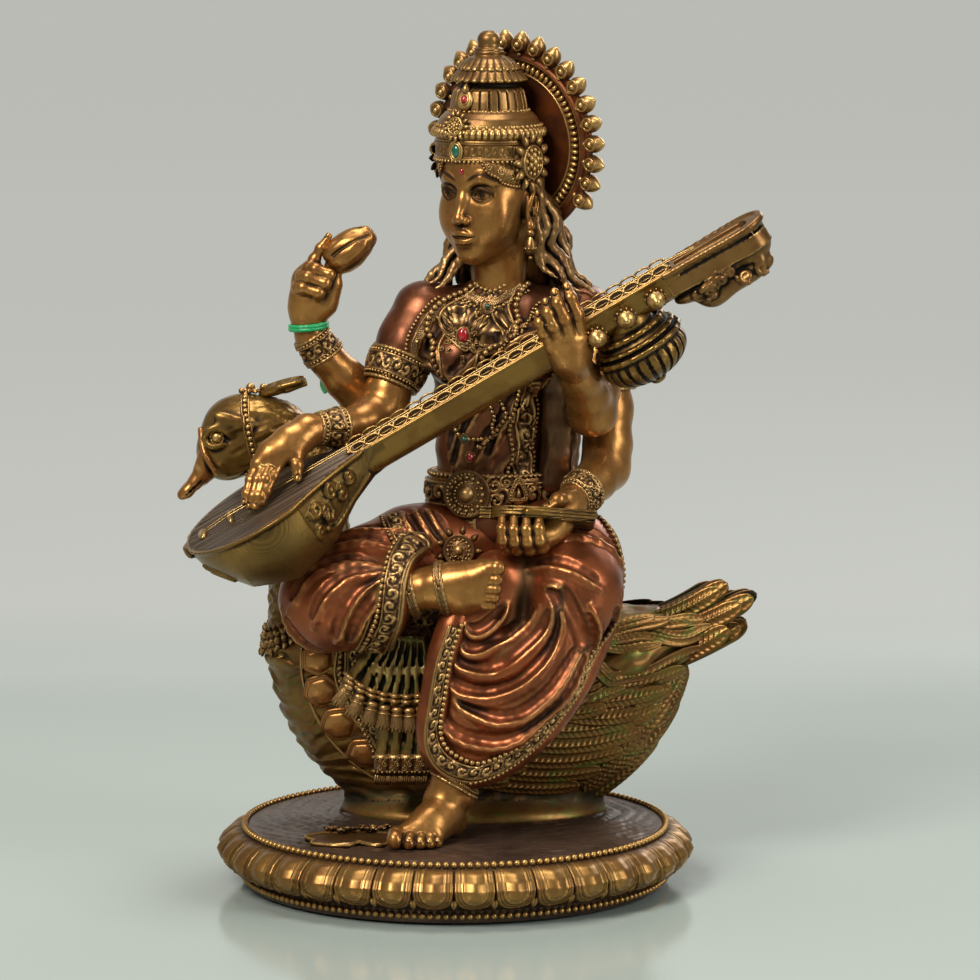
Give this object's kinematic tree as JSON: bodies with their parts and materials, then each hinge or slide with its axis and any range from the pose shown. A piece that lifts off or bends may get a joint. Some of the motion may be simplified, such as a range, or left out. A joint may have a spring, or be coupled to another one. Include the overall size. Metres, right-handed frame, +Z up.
{
  "type": "deity statuette",
  "caption": "Seated four-armed goddess playing a veena on a swan, on a round lotus plinth, in cast bronze-coloured resin.",
  "frame": {"origin": "centre of the plinth's underside, on the surface that it stands on", "axes": "+Z up; -Y to the front, where the left foot points; +X to the figure's left, along the veena's neck"},
  "size_m": [0.1658, 0.1326, 0.2374],
  "materials": {
    "felt": "short-napped dark felt",
    "base_bronze": "dark bronze resin, gold rubbed on the high points",
    "ornament": "old gold bronze resin, dark in the recesses",
    "skin": "satin golden-brown bronze resin",
    "sari": "satin copper-red bronze resin with gold on the folds",
    "trim": "gold-rubbed bronze resin with fine relief",
    "hair": "dark bronze resin with fine strands",
    "feathers": "green-gold patina over bronze resin",
    "beak": "copper-tinted bronze resin",
    "halo": "dark red-brown bronze resin",
    "soundboard": "matte brown resin with a fine grain",
    "strings": "fine drawn wire",
    "gem_red": "glossy red enamel",
    "gem_green": "glossy green enamel",
    "band": "smooth green elastic"
  },
  "bodies": {
    "root": {"felt_pad": "felt", "base_plinth": "base_bronze", "base_petals": "ornament", "base_bead_rings": "ornament", "base_lotus_leaf": "base_bronze", "swan_body": "feathers", "swan_neck": "feathers", "swan_beak": "beak", "swan_eyes": "ornament", "swan_bridle": "trim", "swan_crest": "feathers", "swan_wing_left": "feathers", "swan_wing_right": "feathers", "swan_tail": "feathers", "swan_breast_plates": "ornament", "swan_saddle_cloth": "trim", "swan_collar": "ornament", "torso": "sari", "skirt_right": "sari", "skirt_left": "sari", "skirt_right_border": "trim", "skirt_left_border": "trim", "front_pleats": "trim", "shawl": "trim", "belt": "ornament", "foot_right": "skin", "foot_left": "skin", "anklets": "ornament", "arm_right_front": "skin", "arm_right_rear": "skin", "arm_left_upper": "skin", "arm_left_lower": "skin", "hand_right_front": "skin", "hand_right_rear": "skin", "hand_left_upper": "skin", "hand_left_lower": "skin", "armlets": "ornament", "bracelets": "ornament", "head": "skin", "hair": "hair", "earrings": "ornament", "crown_band": "ornament", "crown_tiers": "ornament", "crown_rosettes": "ornament", "halo_plate": "halo", "halo_buds": "ornament", "necklaces": "trim", "gems_red": "gem_red", "gems_green": "gem_green", "veena_bowl": "skin", "veena_soundboard": "soundboard", "veena_neck": "ornament", "veena_frets": "trim", "veena_strings": "strings", "veena_pegbox": "ornament", "veena_gourd": "ornament", "book": "trim", "lotus_bud": "ornament", "wrist_band": "band"}
  },
  "joints": []
}
